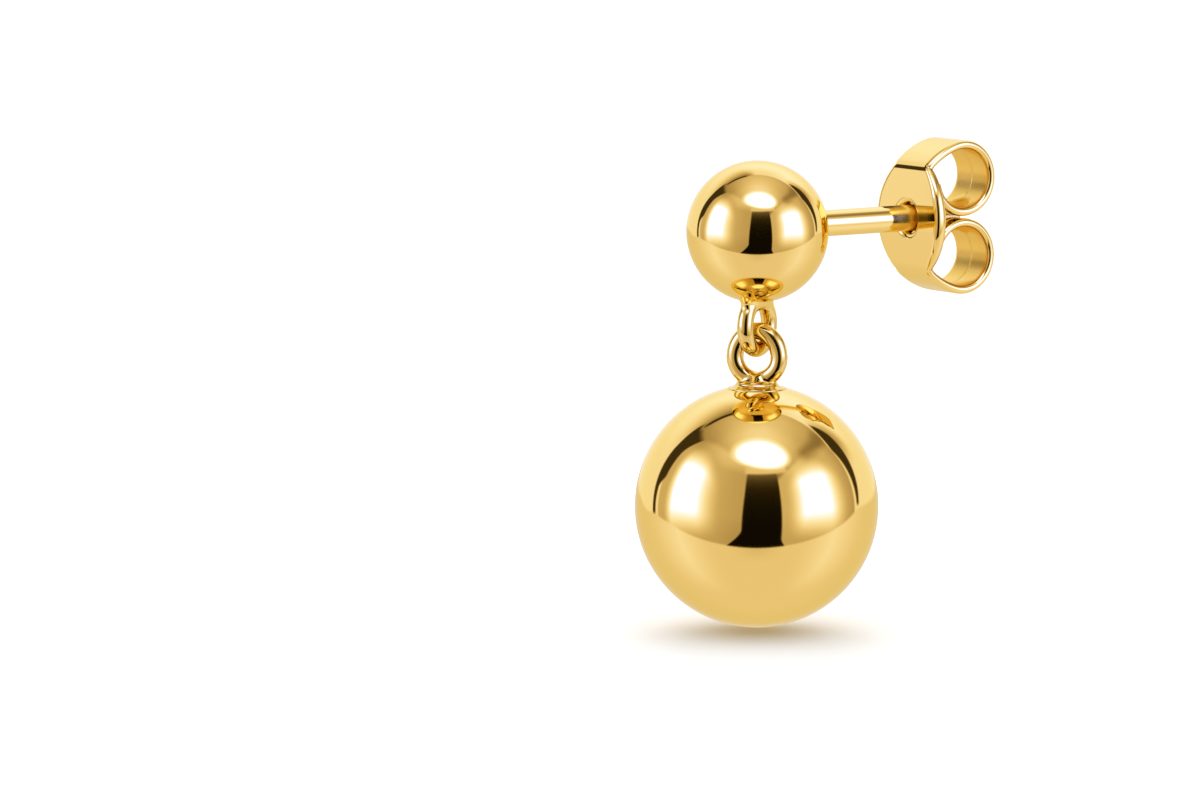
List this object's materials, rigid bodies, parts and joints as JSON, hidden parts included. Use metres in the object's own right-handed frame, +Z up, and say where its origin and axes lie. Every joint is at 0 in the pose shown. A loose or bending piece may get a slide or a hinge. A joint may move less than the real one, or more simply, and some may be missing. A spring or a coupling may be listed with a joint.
{
  "type": "ball drop earring",
  "caption": "Ball drop earring: a small polished ball on a post, gripped by a butterfly clutch, with a larger ball hanging free below it from a linked loop.",
  "frame": {"origin": "on the post's axis at the back of the stud's ball, where the front of the ear lobe rests", "axes": "+Z up, -Y towards the front of the earring, +Y back along the post towards the clutch, +X to the right seen from the front"},
  "size_m": [0.008, 0.0129, 0.0157],
  "materials": {
    "polished_gold": "gold-plated and mirror polished",
    "clutch_gold": "gold-plated strip, polished outside and satin inside its curls"
  },
  "bodies": {
    "stud": {"stud": "polished_gold"},
    "drop": {"drop_cap": "polished_gold", "drop_ball": "polished_gold"},
    "clutch": {"butterfly_clutch": "clutch_gold"}
  },
  "joints": [
    {"name": "drop_swing", "type": "hinge", "parent": "stud", "child": "drop", "pos_m": [0, -0.00232, -0.00398], "axis": [-0.4384, 0.8988, 0], "range_deg": [-88, 88]},
    {"name": "clutch_slide", "type": "slide", "parent": "stud", "child": "clutch", "axis": [0, 1, 0], "range_m": [-0.0035, 0.0021]}
  ]
}
